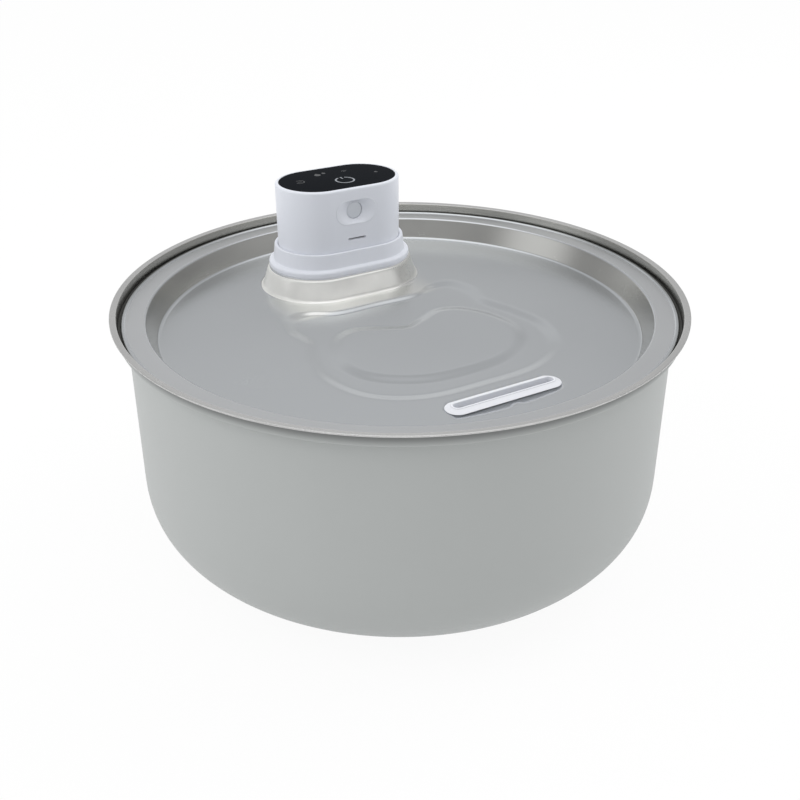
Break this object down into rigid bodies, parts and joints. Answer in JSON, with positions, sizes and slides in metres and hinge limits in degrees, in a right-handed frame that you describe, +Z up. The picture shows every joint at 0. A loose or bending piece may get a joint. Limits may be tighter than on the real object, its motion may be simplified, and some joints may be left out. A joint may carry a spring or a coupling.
{
  "type": "pet water fountain",
  "caption": "Round steel water bowl with a stamped drinking tray, a cordless pump head on a raised boss and a slotted drain at the drinking edge.",
  "frame": {"origin": "centre of the foot ring on the surface that the fountain stands on", "axes": "+Z up, pump head at +Y, drain slot at -Y, +X to the right seen from the drinking edge"},
  "size_m": [0.32, 0.32, 0.1977],
  "materials": {
    "painted_steel": "satin paint outside, bare steel rim and inside",
    "tray_steel": "brushed stainless steel",
    "black_rubber": "matt",
    "clear_silicone": "matt",
    "white_plastic": "satin, fine grain",
    "screw_steel": "bright",
    "black_panel": "gloss, with pale symbols",
    "green_board": "solder mask",
    "grey_plastic": "moulded",
    "battery_wrap": "shrink sleeve",
    "lens_plastic": "translucent",
    "port_metal": "plated sheet",
    "white_rubber": "matt",
    "magnet_nickel": "nickel plated",
    "ceramic": "ground ceramic",
    "foam": "open-cell foam",
    "filter_cloth": "non-woven pouch"
  },
  "bodies": {
    "bowl": {"bowl": "painted_steel", "foot_ring": "black_rubber"},
    "tray": {"drinking_tray": "tray_steel", "collar_gasket": "clear_silicone", "collar": "white_plastic", "clamp_ring": "white_plastic", "clamp_screws": "screw_steel", "filter_seat": "white_plastic"},
    "pump": {"stem_casing": "white_plastic", "head_housing": "white_plastic", "housing_seal": "clear_silicone", "housing_screws": "screw_steel", "touch_panel": "black_panel", "control_board": "green_board", "battery_holder": "grey_plastic", "battery_pack": "battery_wrap", "sensor_lens": "lens_plastic", "sensor_board": "green_board", "charge_port": "port_metal", "charge_board": "green_board", "flap_pin": "screw_steel", "motor_bracket": "grey_plastic", "bracket_screws": "screw_steel", "drive_motor": "port_metal", "water_duct": "grey_plastic", "outlet_nozzle": "grey_plastic", "impeller_shaft": "ceramic", "thrust_washer": "ceramic", "shaft_cap": "white_rubber"},
    "flap": {"port_flap": "white_rubber"},
    "rotor": {"motor_shaft": "screw_steel", "drive_magnet": "magnet_nickel"},
    "impeller": {"impeller": "grey_plastic", "impeller_magnet": "magnet_nickel"},
    "pump_cover": {"pump_cover": "white_plastic", "volute": "white_plastic", "intake_foam": "foam"},
    "drain": {"drain_insert": "white_plastic"},
    "filter": {"filter_box": "white_plastic", "filter_foam": "foam", "filter_cartridge": "filter_cloth"}
  },
  "joints": [
    {"name": "tray_lift", "type": "slide", "parent": "bowl", "child": "tray", "axis": [0, 0, 1], "range_m": [0, 0.16]},
    {"name": "pump_lift", "type": "slide", "parent": "tray", "child": "pump", "axis": [0, 0, 1], "range_m": [0, 0.15]},
    {"name": "flap_hinge", "type": "hinge", "parent": "pump", "child": "flap", "pos_m": [0, 0.09855, 0.1725], "axis": [-1, 0, 0], "range_deg": [0, 95]},
    {"name": "rotor_spin", "type": "hinge", "parent": "pump", "child": "rotor", "pos_m": [0, 0.07945, 0.05], "axis": [0, 0, 1], "continuous": true},
    {"name": "impeller_spin", "type": "hinge", "parent": "pump", "child": "impeller", "pos_m": [0, 0.07945, 0.04], "axis": [0, 0, 1], "continuous": true},
    {"name": "cover_pull", "type": "slide", "parent": "pump", "child": "pump_cover", "axis": [0, 0, -1], "range_m": [0, 0.014]},
    {"name": "drain_lift", "type": "slide", "parent": "tray", "child": "drain", "axis": [0, 0, 1], "range_m": [0, 0.03]},
    {"name": "filter_pull", "type": "slide", "parent": "tray", "child": "filter", "axis": [0, 0, -1], "range_m": [0, 0.04]}
  ],
  "couplings": [
    {"joint": "impeller_spin", "follows": "rotor_spin", "ratio": 1}
  ]
}
